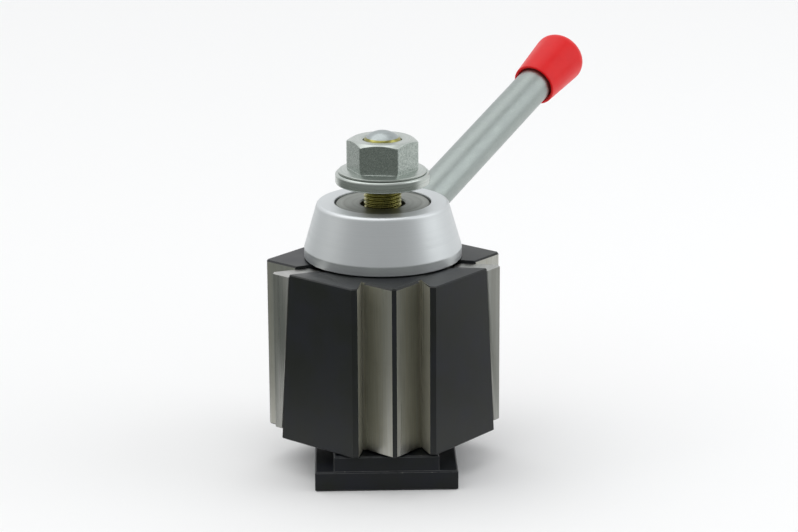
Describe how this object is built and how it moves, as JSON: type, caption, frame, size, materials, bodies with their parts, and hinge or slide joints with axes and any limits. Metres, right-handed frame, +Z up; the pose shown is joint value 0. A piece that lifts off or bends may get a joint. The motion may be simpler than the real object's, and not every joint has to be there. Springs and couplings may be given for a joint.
{
  "type": "quick change tool post",
  "caption": "Wedge-type quick change tool post: square block with dovetails and sliding gibs, cone hub with handle, and a T-nut stud with clamp nut.",
  "frame": {"origin": "centre of the T-nut's underside, on the stud's axis", "axes": "+Z up along the stud; the two dovetail faces look along -Y and +X; the T-nut's length lies 41 degrees from -Y towards +X, as in the picture"},
  "size_m": [0.094, 0.1897, 0.141],
  "materials": {
    "black_oxide": "blackened steel, satin, on the T-nut",
    "black_oxide_block": "blackened steel, satin, with ground dovetail seats and flanks left bright",
    "black_screw": "blackened steel screws",
    "yellow_zinc": "yellow zinc plate on the stud's thread",
    "bright_zinc": "bright zinc plate",
    "rod_zinc": "bright zinc plate over drawn bar",
    "satin_hub": "satin chrome",
    "turned_steel": "bare steel with fine turning marks",
    "ground_steel": "bare steel, surface ground lengthways",
    "plain_steel": "bare hardened steel",
    "red_grip": "red vinyl, half gloss",
    "seal_rubber": "black nitrile rubber"
  },
  "bodies": {
    "base": {"tnut": "black_oxide", "stud": "yellow_zinc", "stud_lock_pin": "plain_steel"},
    "post": {"post_block": "black_oxide_block", "column": "turned_steel", "column_screw_1": "black_screw", "column_screw_2": "black_screw", "column_screw_3": "black_screw", "column_screw_4": "black_screw", "column_dowel_1": "plain_steel", "column_dowel_2": "plain_steel", "ring_guide_pin_1": "plain_steel", "ring_guide_pin_2": "plain_steel"},
    "lift": {"lift_ring": "turned_steel"},
    "hub": {"hub": "satin_hub", "turn_stop_pin": "plain_steel", "snap_ring": "plain_steel", "chip_seal": "seal_rubber", "handle_rod": "rod_zinc", "handle_grip": "red_grip"},
    "gib_left": {"gib_left": "ground_steel"},
    "gib_right": {"gib_right": "ground_steel"},
    "washer": {"clamp_washer": "bright_zinc"},
    "nut": {"clamp_nut": "bright_zinc", "washer_clip": "plain_steel"}
  },
  "joints": [
    {"name": "post_swivel", "type": "hinge", "parent": "base", "child": "post", "pos_m": [0, 0, 0.0138], "axis": [0, 0, 1], "continuous": true},
    {"name": "hub_lift", "type": "slide", "parent": "post", "child": "lift", "axis": [0, 0, 1], "range_m": [0, 0.00534]},
    {"name": "handle_turn", "type": "hinge", "parent": "lift", "child": "hub", "pos_m": [0, 0, 0.0797], "axis": [0, 0, 1], "range_deg": [0, 120]},
    {"name": "gib_left_slide", "type": "slide", "parent": "post", "child": "gib_left", "axis": [0.0759, 0, 0.9971], "range_m": [0, 0.00535]},
    {"name": "gib_right_slide", "type": "slide", "parent": "post", "child": "gib_right", "axis": [0, -0.0759, 0.9971], "range_m": [0, 0.00535]},
    {"name": "nut_travel", "type": "slide", "parent": "base", "child": "washer", "axis": [0, 0, 1], "range_m": [-0.0076, 0.012]},
    {"name": "nut_turn", "type": "hinge", "parent": "washer", "child": "nut", "pos_m": [0, 0, 0.1125], "axis": [0, 0, 1], "range_deg": [-1938.9, 3061.4]}
  ],
  "couplings": [
    {"joint": "hub_lift", "follows": "handle_turn", "m_per_rad": 0.0025465},
    {"joint": "gib_left_slide", "follows": "handle_turn", "m_per_rad": 0.0025538},
    {"joint": "gib_right_slide", "follows": "handle_turn", "m_per_rad": 0.0025538},
    {"joint": "nut_travel", "follows": "nut_turn", "m_per_rad": 0.00022459}
  ]
}
